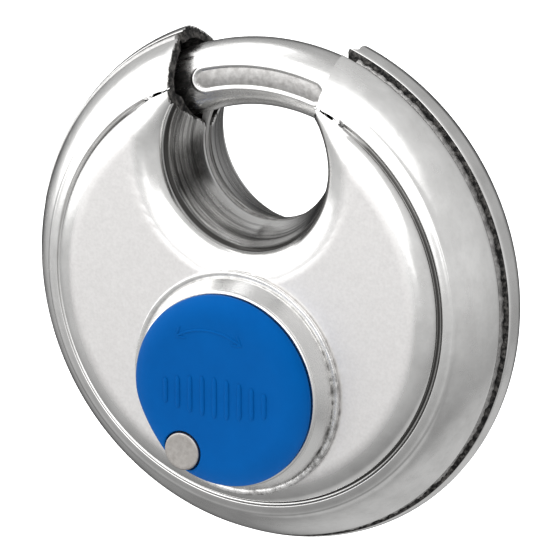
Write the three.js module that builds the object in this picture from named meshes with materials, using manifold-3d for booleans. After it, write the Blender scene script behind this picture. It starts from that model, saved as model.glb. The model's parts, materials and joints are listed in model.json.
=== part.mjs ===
// A disc padlock: a drum of two pressed steel shells, with a curved shackle bar that slides inside the rim.
// Millimetres, +Z up. The front face looks along -Y. The disc's axis is parallel to Y.
// Everything is built round the disc's centre and then moved down, so that the origin lies
// on the centreline of the shackle bar at the top of its bow, where the lock hangs.
import * as THREE from "three";
import { mergeVertices } from "three/addons/utils/BufferGeometryUtils.js";
import Module from "manifold-3d";

const wasm = await Module();
wasm.setup();

// ---------- driving dimensions ----------

// Casing
const BODY_RADIUS = 30;
const SHEET = 1.4; // thickness of the pressed sheet
const RIM_HALF_DEPTH = 7; // half the depth of the rim at its foot
const RIM_FULLNESS = 1.5; // exponent of the rim's curve: 2 is an ellipse, less is more pointed
const FACE_HALF_DEPTH = 8.5; // the raised flat faces stand this far from the middle plane
const FACE_RADIUS = 21.9; // edge of the flat part of a raised face
const SHOULDER = [[23, 0.4], [23.7, 1.2]]; // radius and drop of the steps from the flat down to the groove
const GROOVE_RADIUS = 24; // foot of the raised face, where the rounded rim starts
const SEAM_Y = -1.9; // plane of the weld that joins the two shells round the rim
const SEAM_GAP = 1.2; // distance between the shell edges, filled by the weld bead
const BEAD_HALF_HEIGHT = 0.42; // across the bead, along the disc's radius
const BEAD_INSET = 1.25; // from the rim to the middle of the bead
const BEAD_START = 24; // degrees from straight up to each end of the bead

// Notch under the shackle, round an axis parallel to the disc's
const NOTCH_Z = 15.4;
const NOTCH_WAIST = 7.9; // radius where the two shells meet
const NOTCH_SEAM_Y = -0.5; // the shells meet nearer the middle plane here than round the rim
const NOTCH_LIP = 10.4; // radius at the front and rear lips
const NOTCH_LIP_HALF_DEPTH = 7.2;
const LIP_STEP = { in: 0.5, back: 1.3 }; // from the lip to the head of the notch wall
const LIP_ROUND = { out: 0.9, forward: 0.75 }; // from the lip to the saddle's steepest part
const NOTCH_WALL_STEP = 1.2; // how far out of the notch wall the nearer seam reaches
const SADDLE_RADIUS = 13.3; // where the flat face starts to dip towards the lip

// Mouth that bares the shackle: each cut edge leans outwards from where it crosses MOUTH_Z
const MOUTH_Z = 22.7;
const LEFT_EDGE = { x: -9.6, lean: THREE.MathUtils.degToRad(-15) };
const RIGHT_EDGE = { x: 9.1, lean: THREE.MathUtils.degToRad(8) };

// Shackle. Angles go clockwise from straight up, seen from the front.
const SHACKLE_PATH_RADIUS = 23.9;
const BAR_RADIUS = 3.75;
const BAR_CLEARANCE = 0.5;
const SHACKLE_TIP_ANGLE = -30.5;
const SHACKLE_END_ANGLE = 168;
const BAR_FLAT_Y = 2.6; // milled flat that the drive plate is riveted to
const BAR_FLAT_HALF_ANGLE = 15;

// Cast core
const CORE_RADIUS = 19.3;
const CORE_FRONT = -6.3;
const CORE_REAR = BAR_FLAT_Y - 0.1;

// Lock cylinder, round its own axis parallel to the disc's
const LOCK_Z = -9.66;
const PLUG_RADIUS = 4.6;
const HOUSING_RADIUS = 9.35;
const HOUSING_FRONT = -9.5;
const HOUSING_REAR = 2.2;
const ANTI_DRILL_RADIUS = 6.6;
const PIN_COUNT = 4;
const PIN_PITCH = 2.8;
const FIRST_PIN_Y = -7.9;
const PIN_RADIUS = 0.85;
const PIN_BORE_RADIUS = 1.05;
const KEY_PIN_LENGTHS = [2.3, 3, 2, 2.7];
const KEY_PIN_TIP = { radius: 0.35, length: 0.5 };
const SHEAR_GAP = 0.1; // from each row of pins to the edge of the plug or the housing
const DRIVER_LENGTH = 1.75;
const SPRING_TOP = 8.75; // this and the next four are heights above the lock axis
const CHAMBER_TOP = 8.6;
const KEYWAY_BOTTOM = -3.9;
const KEYWAY_TOP = 2.4;
const PIN_BORE_FLOOR = 0.4;
const KEYWAY_WIDTH = 1.5;
const SPRING_WIRE = 0.14; // radius of the wire
const SPRING_RADIUS = 0.62;
const SPRING_TURNS = 3;
const SPRING_COVER_HALF_WIDTH = 1.35;
const SPRING_COVER_THICKNESS = 0.25;
const SPRING_COVER_OVERHANG = 0.9; // past the first and last pins

// Crank that turns the shackle
const CRANK_PIN_RADIUS = 1.25;
const CRANK_THROW = 7.8;
const CRANK_HALF_SWING = 60; // degrees each side of straight down
const CRANK_FRONT = 4.75;
const CRANK_REAR = 5.85;
const DRIVE_PLATE_FRONT = 2.9;
const DRIVE_PLATE_REAR = 4.5;
const CRANK_DISC_RADIUS = 9.1;
const DRIVE_PLATE = { inner: 13.3, outer: 25.3, halfAngle: 12.5 };
const PLATE_RIVET = { path: 23.6, halfAngle: 7.5, radius: 1, head: 1.6, headHeight: 0.45, depth: 0.6 };
const TAIL_HALF_WIDTH = 1.5;
const TAIL_END = 6.75;
const CLIP_GROOVE = { radius: 1.25, start: 0.2, width: 0.45 }; // start is behind the crank disc
const CLIP = { outer: 2.6, inner: 1.45, thickness: 0.3, halfGap: 0.9 };

// Collar and key cover
const COLLAR_RADIUS = 12.2;
const COLLAR_FOOT_RADIUS = 12.9;
const COLLAR_FRONT = -11.3;
const COLLAR_REAR = -6.7;
const COLLAR_NOSE_RADIUS = 11.1; // the side slopes in to this at the front
const COLLAR_EDGE = 0.2; // rounding of its front edge
const COLLAR_SPIGOT_RADIUS = COLLAR_RADIUS - 0.8; // the part inside the casing
const COLLAR_HOLE_RADIUS = COLLAR_RADIUS - 0.45;
const COLLAR_MOUTH_RADIUS = 6.9;
const COVER_RADIUS = 10.9;
const COVER_REAR = -11.6;
const COVER_FRONT = -13.6;
const COVER_EDGE_ROUND = 1.7;
const COVER_EDGE_SPREAD = 1.3; // the rounding is this much wider than it is deep
const COVER_HOLLOW = { radius: 6.8, depth: 0.5 }; // on its rear
const RIVET_X = -4.22; // from the lock axis
const RIVET_Z = -7.18;
const RIVET_HEAD_RADIUS = 2.15;
const RIVET_RADIUS = 1;
const RIVET_HEAD_SINK = 0.75; // depth of cover left behind the sunk head

// Gaps
const REST_GAP = 0.3; // between pieces that lie against each other
const TURN_GAP = 0.2; // round pieces that turn or slide

// Facets
const DISC_FACETS = 52;
const NOTCH_FACETS = 44;
const HOUSING_FACETS = 40;
const PLUG_FACETS = 32;
const SMALL_FACETS = 24;
const CRANK_PIN_FACETS = 20;
const PIN_FACETS = 12;

// The crank pin moves the drive plate to each side of straight down by this angle.
const crankSwing = THREE.MathUtils.degToRad(CRANK_HALF_SWING);
const plateHalfSwing = THREE.MathUtils.radToDeg(
  Math.atan2(CRANK_THROW * Math.sin(crankSwing), CRANK_THROW * Math.cos(crankSwing) - LOCK_Z),
);
const PLATE_ANGLE = 180 - plateHalfSwing;

// ---------- solids ----------

function solidOf(geometry) {
  const bare = geometry.clone();
  bare.deleteAttribute("normal");
  bare.deleteAttribute("uv");
  const merged = mergeVertices(bare, 1e-4);
  return new wasm.Manifold(
    new wasm.Mesh({
      numProp: 3,
      vertProperties: merged.attributes.position.array,
      triVerts: new Uint32Array(merged.index.array),
    }),
  );
}

function geometryOf(solid) {
  const { vertProperties, triVerts } = solid.getMesh();
  const geometry = new THREE.BufferGeometry();
  geometry.setAttribute("position", new THREE.BufferAttribute(vertProperties, 3));
  geometry.setIndex(new THREE.BufferAttribute(triVerts, 1));
  geometry.computeVertexNormals();
  return geometry;
}

// A solid turned round a line parallel to Y. The profile lists [radius, y] from the rear to the front.
function turned(profile, { x = 0, z = 0, facets = SMALL_FACETS } = {}) {
  const points = [...profile].reverse().map(([radius, y]) => new THREE.Vector2(radius, y));
  return solidOf(new THREE.LatheGeometry(points, facets).translate(x, 0, z));
}

function rod(radius, front, rear, place) {
  return turned([[0, rear], [radius, rear], [radius, front], [0, front]], place);
}

function tube(outer, inner, front, rear, place) {
  return turned([[inner, rear], [outer, rear], [outer, front], [inner, front], [inner, rear]], place);
}

function block(xRange, yRange, zRange) {
  const size = [xRange, yRange, zRange].map(([low, high]) => high - low);
  const middle = [xRange, yRange, zRange].map(([low, high]) => (low + high) / 2);
  return solidOf(new THREE.BoxGeometry(...size).translate(...middle));
}

// An outline drawn in the plane of the disc and given its depth along Y.
function plate(shape, front, rear, curveSegments = 24) {
  const options = { depth: rear - front, bevelEnabled: false, curveSegments };
  const geometry = new THREE.ExtrudeGeometry(shape, options);
  return solidOf(geometry.rotateX(Math.PI / 2).translate(0, rear, 0));
}

// A point on a circle round the disc's centre, by its angle clockwise from straight up.
function onCircle(radius, angleDegrees, y = 0) {
  const angle = THREE.MathUtils.degToRad(angleDegrees);
  return new THREE.Vector3(radius * Math.sin(angle), y, radius * Math.cos(angle));
}

// An arc round the disc's axis, for a bar or bead that follows the rim.
class RimArc extends THREE.Curve {
  constructor(radius, y, fromAngle, toAngle) {
    super();
    Object.assign(this, { radius, y, fromAngle, toAngle });
  }
  getPoint(t, target = new THREE.Vector3()) {
    return target.copy(onCircle(this.radius, THREE.MathUtils.lerp(this.fromAngle, this.toAngle, t), this.y));
  }
}

function ellipseShape(halfWidth, halfHeight) {
  return new THREE.Shape().absellipse(0, 0, halfWidth, halfHeight, 0, Math.PI * 2);
}

function barAlong(path, section, steps, curveSegments) {
  return solidOf(new THREE.ExtrudeGeometry(section, { extrudePath: path, steps, curveSegments }));
}

// ---------- casing ----------

// Points over the rim, from its rear foot round the outermost circle to its front foot.
function rimCurve(height, halfDepth, steps) {
  const power = 2 / RIM_FULLNESS;
  return Array.from({ length: steps + 1 }, (_, i) => {
    const angle = (Math.PI / 2) * (1 - (2 * i) / steps);
    const out = Math.cos(angle) ** power;
    const along = Math.sign(angle) * Math.abs(Math.sin(angle)) ** power;
    return [GROOVE_RADIUS + height * out, halfDepth * along];
  });
}

// The whole drum, with its raised faces, before anything is cut from it.
function drum() {
  const rim = rimCurve(BODY_RADIUS - GROOVE_RADIUS, RIM_HALF_DEPTH, 14);
  const steps = SHOULDER.map(([radius, drop]) => [radius, FACE_HALF_DEPTH - drop]);
  const shoulder = [[FACE_RADIUS, FACE_HALF_DEPTH], ...steps];
  const front = shoulder.map(([radius, y]) => [radius, -y]).reverse();
  return turned(
    [[0, FACE_HALF_DEPTH], ...shoulder, ...rim, ...front, [0, -FACE_HALF_DEPTH]],
    { facets: DISC_FACETS },
  );
}

// The space inside the drum, one sheet thickness in.
function drumHollow() {
  const depth = FACE_HALF_DEPTH - SHEET;
  const halfDepth = RIM_HALF_DEPTH - SHEET;
  const rim = rimCurve(BODY_RADIUS - GROOVE_RADIUS - SHEET, halfDepth, 12);
  const shoulder = [
    [FACE_RADIUS - 0.7, depth],
    [FACE_RADIUS, halfDepth + 0.4],
  ];
  const front = shoulder.map(([radius, y]) => [radius, -y]).reverse();
  return turned([[0, depth], ...shoulder, ...rim, ...front, [0, -depth]], { facets: DISC_FACETS });
}

// The notch's surface is waisted: narrowest at the seam, with a stepped lip and a saddle at each face.
// Growing it by the sheet thickness gives the back of the notch wall.
function notchCutter(grow = 0) {
  const side = [
    [NOTCH_LIP - LIP_STEP.in + grow, NOTCH_LIP_HALF_DEPTH - LIP_STEP.back],
    [NOTCH_LIP + grow, NOTCH_LIP_HALF_DEPTH],
    [NOTCH_LIP + LIP_ROUND.out + grow, NOTCH_LIP_HALF_DEPTH + LIP_ROUND.forward],
    [SADDLE_RADIUS + grow, FACE_HALF_DEPTH + 0.01],
    [SADDLE_RADIUS + grow, FACE_HALF_DEPTH + 1],
    [0, FACE_HALF_DEPTH + 1],
  ];
  const front = side.map(([radius, y]) => [radius, -y]);
  return turned([...side.reverse(), [NOTCH_WAIST + grow, NOTCH_SEAM_Y], ...front], {
    z: NOTCH_Z,
    facets: NOTCH_FACETS,
  });
}

// Two leaning planes open the drum above the notch, so that the shackle bar shows.
function mouthCutter() {
  const top = BODY_RADIUS + 2;
  const xAt = (edge, z) => edge.x + (z - MOUTH_Z) * Math.tan(edge.lean);
  const shape = new THREE.Shape();
  shape.moveTo(xAt(LEFT_EDGE, NOTCH_Z), NOTCH_Z);
  shape.lineTo(xAt(RIGHT_EDGE, NOTCH_Z), NOTCH_Z);
  shape.lineTo(xAt(RIGHT_EDGE, top), top);
  shape.lineTo(xAt(LEFT_EDGE, top), top);
  shape.closePath();
  return plate(shape, -FACE_HALF_DEPTH - 1, FACE_HALF_DEPTH + 1);
}

// The round channel that the shackle bar runs in, all the way round.
function channelCutter() {
  const sides = 20;
  const torus = new THREE.TorusGeometry(SHACKLE_PATH_RADIUS, BAR_RADIUS + BAR_CLEARANCE, sides, DISC_FACETS);
  return solidOf(torus.rotateX(Math.PI / 2));
}

function casing() {
  const room = drumHollow().subtract(notchCutter(SHEET));
  return drum()
    .subtract(notchCutter())
    .subtract(mouthCutter())
    .subtract(room)
    .subtract(channelCutter());
}

// Everything behind the line where the shells part, with half of the seam's gap left out.
// The parting line steps forward from the notch wall to the rim.
function rearSide(gap) {
  const reach = BODY_RADIUS + 5;
  const wallRadius = NOTCH_WAIST + SHEET + NOTCH_WALL_STEP;
  const rim = block([-reach, reach], [SEAM_Y + gap, FACE_HALF_DEPTH * 2], [-reach, reach]);
  const wallFront = -FACE_HALF_DEPTH - 1;
  const notchWall = rod(wallRadius, wallFront, NOTCH_SEAM_Y + gap, { z: NOTCH_Z, facets: NOTCH_FACETS });
  return rim.subtract(notchWall);
}

const lockAxis = { z: LOCK_Z };
const pressedCasing = casing();

function frontShell() {
  const [front, rear] = [-FACE_HALF_DEPTH - 1, -FACE_HALF_DEPTH + SHEET + 1];
  const collarHole = rod(COLLAR_HOLE_RADIUS, front, rear, { ...lockAxis, facets: DISC_FACETS });
  return pressedCasing.subtract(rearSide(-SEAM_GAP / 2)).subtract(collarHole);
}

function rearShell() {
  return pressedCasing.intersect(rearSide(SEAM_GAP / 2));
}

// The bead that joins the shells runs round the rim from one mouth to the other.
function weldBead() {
  const path = new RimArc(BODY_RADIUS - BEAD_INSET, SEAM_Y, BEAD_START, 360 - BEAD_START);
  return barAlong(path, ellipseShape(BEAD_HALF_HEIGHT, SEAM_GAP / 2 - REST_GAP), DISC_FACETS, 3);
}

// The cast core fills the middle of the drum, guides the inside of the shackle and holds the cylinder.
function innerCore() {
  const [front, rear] = [CORE_FRONT - 1, CORE_REAR + 1];
  const notchClearance = NOTCH_LIP + SHEET + REST_GAP;
  return rod(CORE_RADIUS, CORE_FRONT, CORE_REAR, { facets: DISC_FACETS })
    .subtract(rod(notchClearance, front, rear, { z: NOTCH_Z, facets: NOTCH_FACETS }))
    .subtract(rod(HOUSING_RADIUS + REST_GAP, front, rear, { ...lockAxis, facets: HOUSING_FACETS }));
}

// ---------- shackle ----------

// A sector of a ring round the disc's centre, centred on the drive plate.
function sector(inner, outer, halfAngle) {
  const middle = Math.PI / 2 - THREE.MathUtils.degToRad(PLATE_ANGLE);
  const half = THREE.MathUtils.degToRad(halfAngle);
  const shape = new THREE.Shape();
  shape.absarc(0, 0, outer, middle - half, middle + half, false);
  shape.absarc(0, 0, inner, middle + half, middle - half, true);
  shape.closePath();
  return shape;
}

const rivetPlaces = [-1, 1].map((side) => {
  const { x, z } = onCircle(PLATE_RIVET.path, PLATE_ANGLE + side * PLATE_RIVET.halfAngle);
  return { x, z, facets: PIN_FACETS };
});

// Cuts the bores of the two plate rivets, from this depth to behind the bar.
function withRivetBores(solid, front) {
  const bores = rivetPlaces.map((place) => rod(PLATE_RIVET.radius + TURN_GAP, front, BAR_RADIUS * 2, place));
  return bores.reduce((cut, bore) => cut.subtract(bore), solid);
}

function shackle() {
  const path = new RimArc(SHACKLE_PATH_RADIUS, 0, SHACKLE_TIP_ANGLE, SHACKLE_END_ANGLE);
  const bar = barAlong(path, ellipseShape(BAR_RADIUS, BAR_RADIUS), 36, 10);
  const [inner, outer] = [SHACKLE_PATH_RADIUS - 2 * BAR_RADIUS, SHACKLE_PATH_RADIUS + 2 * BAR_RADIUS];
  const flat = plate(sector(inner, outer, BAR_FLAT_HALF_ANGLE), BAR_FLAT_Y, BAR_RADIUS + 1);
  return withRivetBores(bar.subtract(flat), PLATE_RIVET.depth - REST_GAP);
}

// A forked plate on the inside of the shackle. The crank pin slides in its radial slot.
function drivePlate() {
  const slotHalfWidth = CRANK_PIN_RADIUS + TURN_GAP;
  const slotStart = DRIVE_PLATE.inner / 2;
  const slotEnd = CRANK_THROW - LOCK_Z + 0.1;
  const [front, rear] = [DRIVE_PLATE_FRONT - 1, DRIVE_PLATE_REAR + 1];
  const slot = block([-slotHalfWidth, slotHalfWidth], [front, rear], [slotStart, slotEnd]).add(
    rod(slotHalfWidth, front, rear, { z: slotEnd, facets: CRANK_PIN_FACETS }),
  );
  const { inner, outer, halfAngle } = DRIVE_PLATE;
  const body = plate(sector(inner, outer, halfAngle), DRIVE_PLATE_FRONT, DRIVE_PLATE_REAR);
  return withRivetBores(body.subtract(slot.rotate([0, PLATE_ANGLE, 0])), 0);
}

function plateRivet(place) {
  const { radius, head, headHeight, depth } = PLATE_RIVET;
  const seat = DRIVE_PLATE_REAR + REST_GAP / 2;
  const top = seat + headHeight;
  const headProfile = [[0, top], [head * 0.75, top], [head, seat + headHeight / 2], [head, seat]];
  return turned([...headProfile, [radius, seat], [radius, depth], [0, depth]], place);
}

// ---------- lock cylinder ----------

const pinPlaces = Array.from({ length: PIN_COUNT }, (_, i) => FIRST_PIN_Y + i * PIN_PITCH);

// An upright pin or bore above the lock axis.
function upright(radius, bottom, top, y, facets = PIN_FACETS) {
  const cylinder = new THREE.CylinderGeometry(radius, radius, top - bottom, facets);
  return solidOf(cylinder.rotateX(Math.PI / 2).translate(0, y, LOCK_Z + (bottom + top) / 2));
}

function cylinderHousing() {
  const shellTube = tube(HOUSING_RADIUS, PLUG_RADIUS + TURN_GAP, HOUSING_FRONT, HOUSING_REAR, {
    ...lockAxis,
    facets: HOUSING_FACETS,
  });
  const coverSlot = overPins(REST_GAP, [LOCK_Z + CHAMBER_TOP, LOCK_Z + HOUSING_RADIUS + 1]);
  return pinPlaces.reduce(
    (cut, y) => cut.subtract(upright(PIN_BORE_RADIUS, PLUG_RADIUS - 1, CHAMBER_TOP + 0.5, y)),
    shellTube.subtract(coverSlot),
  );
}

// A strip along the row of pins, this much wider and longer than the spring cover.
function overPins(grow, zRange) {
  const halfWidth = SPRING_COVER_HALF_WIDTH + grow;
  const reach = SPRING_COVER_OVERHANG + grow;
  const [first, last] = [pinPlaces[0], pinPlaces[PIN_COUNT - 1]];
  return block([-halfWidth, halfWidth], [first - reach, last + reach], zRange);
}

function springCover() {
  const bottom = LOCK_Z + CHAMBER_TOP + REST_GAP;
  return overPins(0, [bottom, bottom + SPRING_COVER_THICKNESS]);
}

function keyPin(y, length) {
  const top = PLUG_RADIUS - SHEAR_GAP;
  const point = [[0, 0], [KEY_PIN_TIP.radius, 0], [PIN_RADIUS, KEY_PIN_TIP.length]];
  const points = [...point, [PIN_RADIUS, length], [0, length]];
  const profile = points.map(([radius, height]) => new THREE.Vector2(radius, height));
  const lathe = new THREE.LatheGeometry(profile, PIN_FACETS);
  return solidOf(lathe.rotateX(Math.PI / 2).translate(0, y, LOCK_Z + top - length));
}

const driverBottom = PLUG_RADIUS + TURN_GAP + SHEAR_GAP;
const driverTop = driverBottom + DRIVER_LENGTH;

function driverPin(y) {
  return upright(PIN_RADIUS, driverBottom, driverTop, y);
}

class SpringCoil extends THREE.Curve {
  constructor(y, bottom, top, radius, turns) {
    super();
    Object.assign(this, { y, bottom, top, radius, turns });
  }
  getPoint(t, target = new THREE.Vector3()) {
    const angle = t * this.turns * Math.PI * 2;
    const height = THREE.MathUtils.lerp(this.bottom, this.top, t);
    return target.set(this.radius * Math.cos(angle), this.y + this.radius * Math.sin(angle), height);
  }
}

function pinSpring(y) {
  const bottom = LOCK_Z + driverTop + SPRING_WIRE + 0.05;
  const top = LOCK_Z + SPRING_TOP - SPRING_WIRE;
  const path = new SpringCoil(y, bottom, top, SPRING_RADIUS, SPRING_TURNS);
  return barAlong(path, ellipseShape(SPRING_WIRE, SPRING_WIRE), 9 * SPRING_TURNS, 2);
}

function keyway(front, rear) {
  const heights = [LOCK_Z + KEYWAY_BOTTOM, LOCK_Z + KEYWAY_TOP];
  return block([-KEYWAY_WIDTH / 2, KEYWAY_WIDTH / 2], [front, rear], heights);
}

// The plug carries the key pins and ends in a square tail for the crank disc.
function plug() {
  const barrel = rod(PLUG_RADIUS, HOUSING_FRONT, HOUSING_REAR, { ...lockAxis, facets: PLUG_FACETS });
  const tail = block(
    [-TAIL_HALF_WIDTH, TAIL_HALF_WIDTH],
    [HOUSING_REAR - 0.5, TAIL_END],
    [LOCK_Z - TAIL_HALF_WIDTH, LOCK_Z + TAIL_HALF_WIDTH],
  );
  const grooveFront = CRANK_REAR + CLIP_GROOVE.start;
  const grooveRear = grooveFront + CLIP_GROOVE.width;
  const clipGroove = tube(TAIL_HALF_WIDTH * 2, CLIP_GROOVE.radius, grooveFront, grooveRear, lockAxis);
  const body = barrel
    .add(tail)
    .subtract(clipGroove)
    .subtract(keyway(HOUSING_FRONT - 1, HOUSING_REAR - 0.7));
  return pinPlaces.reduce((cut, y) => cut.subtract(upright(PIN_BORE_RADIUS, PIN_BORE_FLOOR, 6, y)), body);
}

// A hardened disc in front of the plug, which turns with it.
function antiDrillDisc() {
  const [front, rear] = [COLLAR_FRONT + REST_GAP, HOUSING_FRONT - REST_GAP];
  const disc = rod(ANTI_DRILL_RADIUS, front, rear, { ...lockAxis, facets: PLUG_FACETS });
  return disc.subtract(keyway(front - 1, rear + 1));
}

// ---------- crank ----------

// The crank starts at one side of its swing, level with the drive plate's slot.
const crankPinPlace = {
  x: CRANK_THROW * Math.sin(crankSwing),
  z: LOCK_Z - CRANK_THROW * Math.cos(crankSwing),
  facets: CRANK_PIN_FACETS,
};

function crankDisc() {
  const hole = TAIL_HALF_WIDTH + REST_GAP;
  const [front, rear] = [CRANK_FRONT - 1, CRANK_REAR + 1];
  return rod(CRANK_DISC_RADIUS, CRANK_FRONT, CRANK_REAR, { ...lockAxis, facets: HOUSING_FACETS })
    .subtract(block([-hole, hole], [front, rear], [LOCK_Z - hole, LOCK_Z + hole]))
    .subtract(rod(CRANK_PIN_RADIUS + REST_GAP, front, rear, crankPinPlace));
}

function drivePin() {
  return rod(CRANK_PIN_RADIUS, DRIVE_PLATE_FRONT + REST_GAP / 2, CRANK_REAR, crankPinPlace);
}

// A split spring clip in the groove of the tail, behind the crank disc.
function tailClip() {
  const { outer, inner, thickness, halfGap } = CLIP;
  const front = CRANK_REAR + CLIP_GROOVE.start + (CLIP_GROOVE.width - thickness) / 2;
  const ring = tube(outer, inner, front, front + thickness, lockAxis);
  return ring.subtract(block([-halfGap, halfGap], [CRANK_REAR, TAIL_END], [LOCK_Z - outer - 1, LOCK_Z]));
}

// ---------- collar and key cover ----------

const rivetPlace = { x: RIVET_X, z: LOCK_Z + RIVET_Z };
const rivetShankPlace = { ...rivetPlace, facets: PIN_FACETS };

function cylinderCollar() {
  const seat = -FACE_HALF_DEPTH - REST_GAP;
  const bore = HOUSING_RADIUS + REST_GAP;
  const shelf = HOUSING_FRONT - REST_GAP;
  const collar = turned(
    [
      [bore, COLLAR_REAR],
      [COLLAR_SPIGOT_RADIUS, COLLAR_REAR],
      [COLLAR_SPIGOT_RADIUS, seat],
      [COLLAR_FOOT_RADIUS, seat],
      [COLLAR_FOOT_RADIUS, seat - REST_GAP],
      [COLLAR_RADIUS, seat - 1.5 * REST_GAP],
      [COLLAR_NOSE_RADIUS + COLLAR_EDGE, COLLAR_FRONT + COLLAR_EDGE],
      [COLLAR_NOSE_RADIUS, COLLAR_FRONT],
      [COLLAR_MOUTH_RADIUS, COLLAR_FRONT],
      [COLLAR_MOUTH_RADIUS, shelf],
      [bore, shelf],
      [bore, COLLAR_REAR],
    ],
    { ...lockAxis, facets: NOTCH_FACETS },
  );
  return collar.subtract(rod(RIVET_RADIUS + TURN_GAP, COLLAR_FRONT - 1, shelf + 1, rivetShankPlace));
}

// The plastic cover turns on its rivet to bare the keyway.
function keyCover() {
  const steps = 4;
  const edge = Array.from({ length: steps + 1 }, (_, i) => {
    const angle = (Math.PI / 2) * (i / steps);
    const inset = COVER_EDGE_ROUND * COVER_EDGE_SPREAD * (1 - Math.cos(angle));
    return [COVER_RADIUS - inset, COVER_FRONT + COVER_EDGE_ROUND * (1 - Math.sin(angle))];
  });
  const disc = turned([[0, COVER_REAR], [COVER_RADIUS, COVER_REAR], ...edge, [0, COVER_FRONT]], {
    ...lockAxis,
    facets: NOTCH_FACETS,
  });
  const [front, rear] = [COVER_FRONT - 1, COVER_REAR + 1];
  const hollowFront = COVER_REAR - COVER_HOLLOW.depth;
  const hollow = rod(COVER_HOLLOW.radius, hollowFront, rear, { ...lockAxis, facets: PLUG_FACETS });
  const headRoom = rod(RIVET_HEAD_RADIUS + TURN_GAP, front, COVER_REAR - RIVET_HEAD_SINK, rivetPlace);
  const shankBore = rod(RIVET_RADIUS + TURN_GAP, front, rear, rivetShankPlace);
  return disc.subtract(hollow).subtract(headRoom).subtract(shankBore);
}

function coverRivet() {
  const shankRear = HOUSING_FRONT - 0.4;
  const headRear = COVER_REAR - RIVET_HEAD_SINK - TURN_GAP;
  const headFront = COVER_FRONT - 0.05;
  const bevel = 0.15;
  return turned(
    [
      [0, shankRear],
      [RIVET_RADIUS, shankRear],
      [RIVET_RADIUS, headRear],
      [RIVET_HEAD_RADIUS, headRear],
      [RIVET_HEAD_RADIUS, headFront + bevel],
      [RIVET_HEAD_RADIUS - bevel, headFront],
      [0, headFront],
    ],
    rivetPlace,
  );
}

// ---------- assembly ----------

const polishedSteel = { color: 0xd4d3d1, roughness: 0.14, metalness: 1 };
const weldSteel = { color: 0x7d7a77, roughness: 0.65, metalness: 0.9 };
const hardenedSteel = { color: 0xb9babc, roughness: 0.3, metalness: 1 };
const castZinc = { color: 0x8d9194, roughness: 0.6, metalness: 0.8 };
const brass = { color: 0xc9a24e, roughness: 0.32, metalness: 1 };
const springSteel = { color: 0xa7a9ab, roughness: 0.35, metalness: 1 };
const bluePlastic = { color: 0x0059a8, roughness: 0.42, metalness: 0 };

const padlock = new THREE.Group();
const aboutDiscCentre = new THREE.Group();
aboutDiscCentre.position.z = -SHACKLE_PATH_RADIUS;
padlock.add(aboutDiscCentre);

function addPiece(name, solid, finish) {
  const mesh = new THREE.Mesh(geometryOf(solid), new THREE.MeshStandardMaterial(finish));
  mesh.name = name;
  aboutDiscCentre.add(mesh);
}

addPiece("front_shell", frontShell(), polishedSteel);
addPiece("rear_shell", rearShell(), polishedSteel);
addPiece("weld_bead", weldBead(), weldSteel);
addPiece("inner_core", innerCore(), castZinc);
addPiece("shackle", shackle(), polishedSteel);
addPiece("drive_plate", drivePlate(), hardenedSteel);
rivetPlaces.forEach((place, i) => addPiece(`plate_rivet_${i + 1}`, plateRivet(place), hardenedSteel));
addPiece("cylinder_housing", cylinderHousing(), brass);
addPiece("spring_cover", springCover(), brass);
addPiece("plug", plug(), brass);
addPiece("anti_drill_disc", antiDrillDisc(), hardenedSteel);
addPiece("crank_disc", crankDisc(), hardenedSteel);
addPiece("drive_pin", drivePin(), hardenedSteel);
addPiece("tail_clip", tailClip(), springSteel);
pinPlaces.forEach((y, i) => {
  addPiece(`key_pin_${i + 1}`, keyPin(y, KEY_PIN_LENGTHS[i]), brass);
  addPiece(`driver_pin_${i + 1}`, driverPin(y), hardenedSteel);
  addPiece(`pin_spring_${i + 1}`, pinSpring(y), springSteel);
});
addPiece("cylinder_collar", cylinderCollar(), polishedSteel);
addPiece("key_cover", keyCover(), bluePlastic);
addPiece("cover_rivet", coverRivet(), hardenedSteel);

export default padlock;
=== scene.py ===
import json
import math

import bpy
import numpy as np
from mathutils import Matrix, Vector, noise


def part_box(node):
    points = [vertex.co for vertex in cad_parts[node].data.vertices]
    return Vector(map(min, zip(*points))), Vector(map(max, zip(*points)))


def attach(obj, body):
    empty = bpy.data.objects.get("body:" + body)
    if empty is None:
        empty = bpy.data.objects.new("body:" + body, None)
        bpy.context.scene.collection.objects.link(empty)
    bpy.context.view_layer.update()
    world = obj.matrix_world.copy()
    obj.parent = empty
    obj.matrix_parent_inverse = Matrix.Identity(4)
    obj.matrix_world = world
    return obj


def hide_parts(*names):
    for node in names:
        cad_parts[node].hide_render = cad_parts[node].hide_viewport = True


# A disc padlock. Lengths are in metres and the front face looks along -Y.
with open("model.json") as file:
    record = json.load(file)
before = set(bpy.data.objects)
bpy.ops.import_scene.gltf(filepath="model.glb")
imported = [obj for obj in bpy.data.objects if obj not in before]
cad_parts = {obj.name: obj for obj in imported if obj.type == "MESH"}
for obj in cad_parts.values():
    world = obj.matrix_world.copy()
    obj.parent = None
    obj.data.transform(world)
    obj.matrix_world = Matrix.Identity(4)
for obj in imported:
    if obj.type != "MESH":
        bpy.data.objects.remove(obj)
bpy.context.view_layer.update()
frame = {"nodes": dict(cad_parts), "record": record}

MM = 0.001

# ---------- driving dimensions, from the frame where it holds them ----------

shell_low, shell_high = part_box("rear_shell")
collar_low, collar_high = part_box("cylinder_collar")
cover_low, cover_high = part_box("key_cover")
rivet_low, rivet_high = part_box("cover_rivet")
bar_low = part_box("shackle")[0]

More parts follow.
